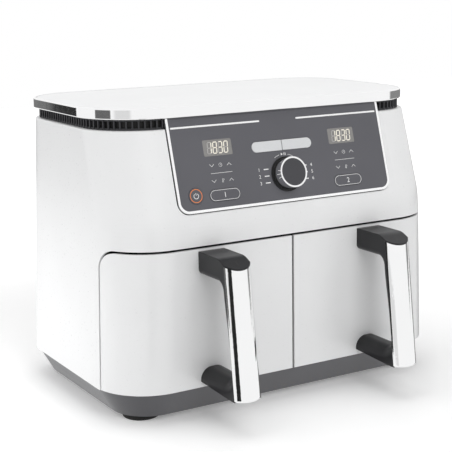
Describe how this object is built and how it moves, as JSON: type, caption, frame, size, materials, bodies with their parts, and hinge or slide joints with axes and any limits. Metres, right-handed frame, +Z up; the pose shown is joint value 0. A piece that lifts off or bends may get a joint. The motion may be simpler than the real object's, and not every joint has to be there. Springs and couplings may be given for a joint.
{
  "type": "double-drawer air fryer",
  "caption": "Countertop air fryer with two pull-out cooking drawers side by side, a sloping control panel with a push dial, and bright bar handles.",
  "frame": {"origin": "on the worktop, under the middle of the appliance's bounding box", "axes": "+X to the right seen from the front, -Y out of the drawer fronts, +Z up"},
  "size_m": [0.415, 0.3457, 0.325],
  "materials": {
    "white_shell": "satin white painted plastic",
    "top_white": "smooth pale grey plastic",
    "dark_plastic": "fine textured dark plastic",
    "base_dark": "satin dark grey plastic",
    "foot_rubber": "matt rubber",
    "bright_chrome": "mirror chrome",
    "vent_black": "matt black plastic",
    "inner_black": "matt black plastic",
    "cavity_steel": "aluminised sheet",
    "heater_steel": "heat-tinted steel tube",
    "fan_steel": "pressed steel",
    "motor_steel": "zinc-plated steel",
    "board_green": "green circuit board",
    "basket_coat": "dark non-stick coating",
    "silicone": "soft silicone",
    "handle_dark": "satin dark grey plastic",
    "key_dark": "satin dark grey plastic",
    "key_pale": "satin pale silver plastic",
    "fascia_grey": "satin dark grey plastic",
    "bezel_bright": "bright satin line",
    "display_lens": "smoked display window",
    "light_guide": "translucent pale plastic",
    "dial_face_grey": "satin dark grey disc"
  },
  "bodies": {
    "housing": {"base_tray": "base_dark", "cavity_liner_left": "cavity_steel", "cavity_liner_right": "cavity_steel", "chassis_deck": "cavity_steel", "control_board": "board_green", "cord_gland": "inner_black", "dial_collar": "inner_black", "display_windows": "display_lens", "drawer_runners": "inner_black", "drawer_switches": "inner_black", "encoder_case": "motor_steel", "fan_motors": "motor_steel", "fascia_bezel": "bezel_bright", "fascia_panel": "fascia_grey", "front_frame": "inner_black", "heater_coils": "heater_steel", "housing_screws": "fan_steel", "intake_vent_ring": "vent_black", "lid_trim_ring": "bright_chrome", "light_bars": "light_guide", "outer_shell": "white_shell", "panel_carrier": "inner_black", "power_board": "board_green", "rear_cover": "dark_plastic", "rubber_feet": "foot_rubber", "temperature_probes": "heater_steel", "top_panel": "top_white"},
    "drawer_left": {"drawer_front_left": "white_shell", "drawer_backplate_left": "inner_black", "basket_left": "basket_coat", "handle_grip_left": "handle_dark", "handle_trim_left": "bright_chrome", "handle_screws_left": "fan_steel"},
    "drawer_right": {"drawer_front_right": "white_shell", "drawer_backplate_right": "inner_black", "basket_right": "basket_coat", "handle_grip_right": "handle_dark", "handle_trim_right": "bright_chrome", "handle_screws_right": "fan_steel"},
    "crisper_left": {"crisper_plate_left": "basket_coat", "crisper_bumpers_left": "silicone"},
    "crisper_right": {"crisper_plate_right": "basket_coat", "crisper_bumpers_right": "silicone"},
    "fan_rotor_left": {"cooking_fan_left": "fan_steel", "cooling_fan_left": "inner_black", "motor_shaft_left": "fan_steel"},
    "fan_rotor_right": {"cooking_fan_right": "fan_steel", "cooling_fan_right": "inner_black", "motor_shaft_right": "fan_steel"},
    "dial_press": {"encoder_plunger": "inner_black"},
    "dial_turn": {"dial_shaft": "fan_steel", "dial_knob": "bright_chrome", "dial_face": "dial_face_grey"},
    "power_button": {"power_key": "key_dark"},
    "zone_button_1": {"zone_key_1": "key_dark"},
    "zone_button_2": {"zone_key_2": "key_dark"},
    "sync_button": {"sync_key": "key_pale"},
    "match_button": {"match_key": "key_pale"}
  },
  "joints": [
    {"name": "drawer_slide_left", "type": "slide", "parent": "housing", "child": "drawer_left", "axis": [0, -1, 0], "range_m": [0, 0.2]},
    {"name": "crisper_lift_left", "type": "slide", "parent": "drawer_left", "child": "crisper_left", "axis": [0, 0, 1], "range_m": [0, 0.085]},
    {"name": "fan_spin_left", "type": "hinge", "parent": "housing", "child": "fan_rotor_left", "pos_m": [-0.09993, 0.04297, 0.2], "axis": [0, 0, 1], "continuous": true},
    {"name": "drawer_slide_right", "type": "slide", "parent": "housing", "child": "drawer_right", "axis": [0, -1, 0], "range_m": [0, 0.2]},
    {"name": "crisper_lift_right", "type": "slide", "parent": "drawer_right", "child": "crisper_right", "axis": [0, 0, 1], "range_m": [0, 0.085]},
    {"name": "fan_spin_right", "type": "hinge", "parent": "housing", "child": "fan_rotor_right", "pos_m": [0.09993, 0.04297, 0.2], "axis": [0, 0, 1], "continuous": true},
    {"name": "dial_push", "type": "slide", "parent": "housing", "child": "dial_press", "axis": [0, 0.9583, -0.2857], "range_m": [0, 0.0006], "stiffness_N_per_m": 2500},
    {"name": "dial_rotate", "type": "hinge", "parent": "dial_press", "child": "dial_turn", "pos_m": [0, -0.08452, 0.24688], "axis": [0, -0.9583, 0.2857], "continuous": true},
    {"name": "power_press", "type": "slide", "parent": "housing", "child": "power_button", "axis": [0, 0.9583, -0.2857], "range_m": [0, 0.0005], "stiffness_N_per_m": 2000},
    {"name": "zone_press_1", "type": "slide", "parent": "housing", "child": "zone_button_1", "axis": [0, 0.9583, -0.2857], "range_m": [0, 0.0005], "stiffness_N_per_m": 2000},
    {"name": "zone_press_2", "type": "slide", "parent": "housing", "child": "zone_button_2", "axis": [0, 0.9583, -0.2857], "range_m": [0, 0.0005], "stiffness_N_per_m": 2000},
    {"name": "sync_press", "type": "slide", "parent": "housing", "child": "sync_button", "axis": [0, 0.9583, -0.2857], "range_m": [0, 0.0005], "stiffness_N_per_m": 2000},
    {"name": "match_press", "type": "slide", "parent": "housing", "child": "match_button", "axis": [0, 0.9583, -0.2857], "range_m": [0, 0.0005], "stiffness_N_per_m": 2000}
  ]
}
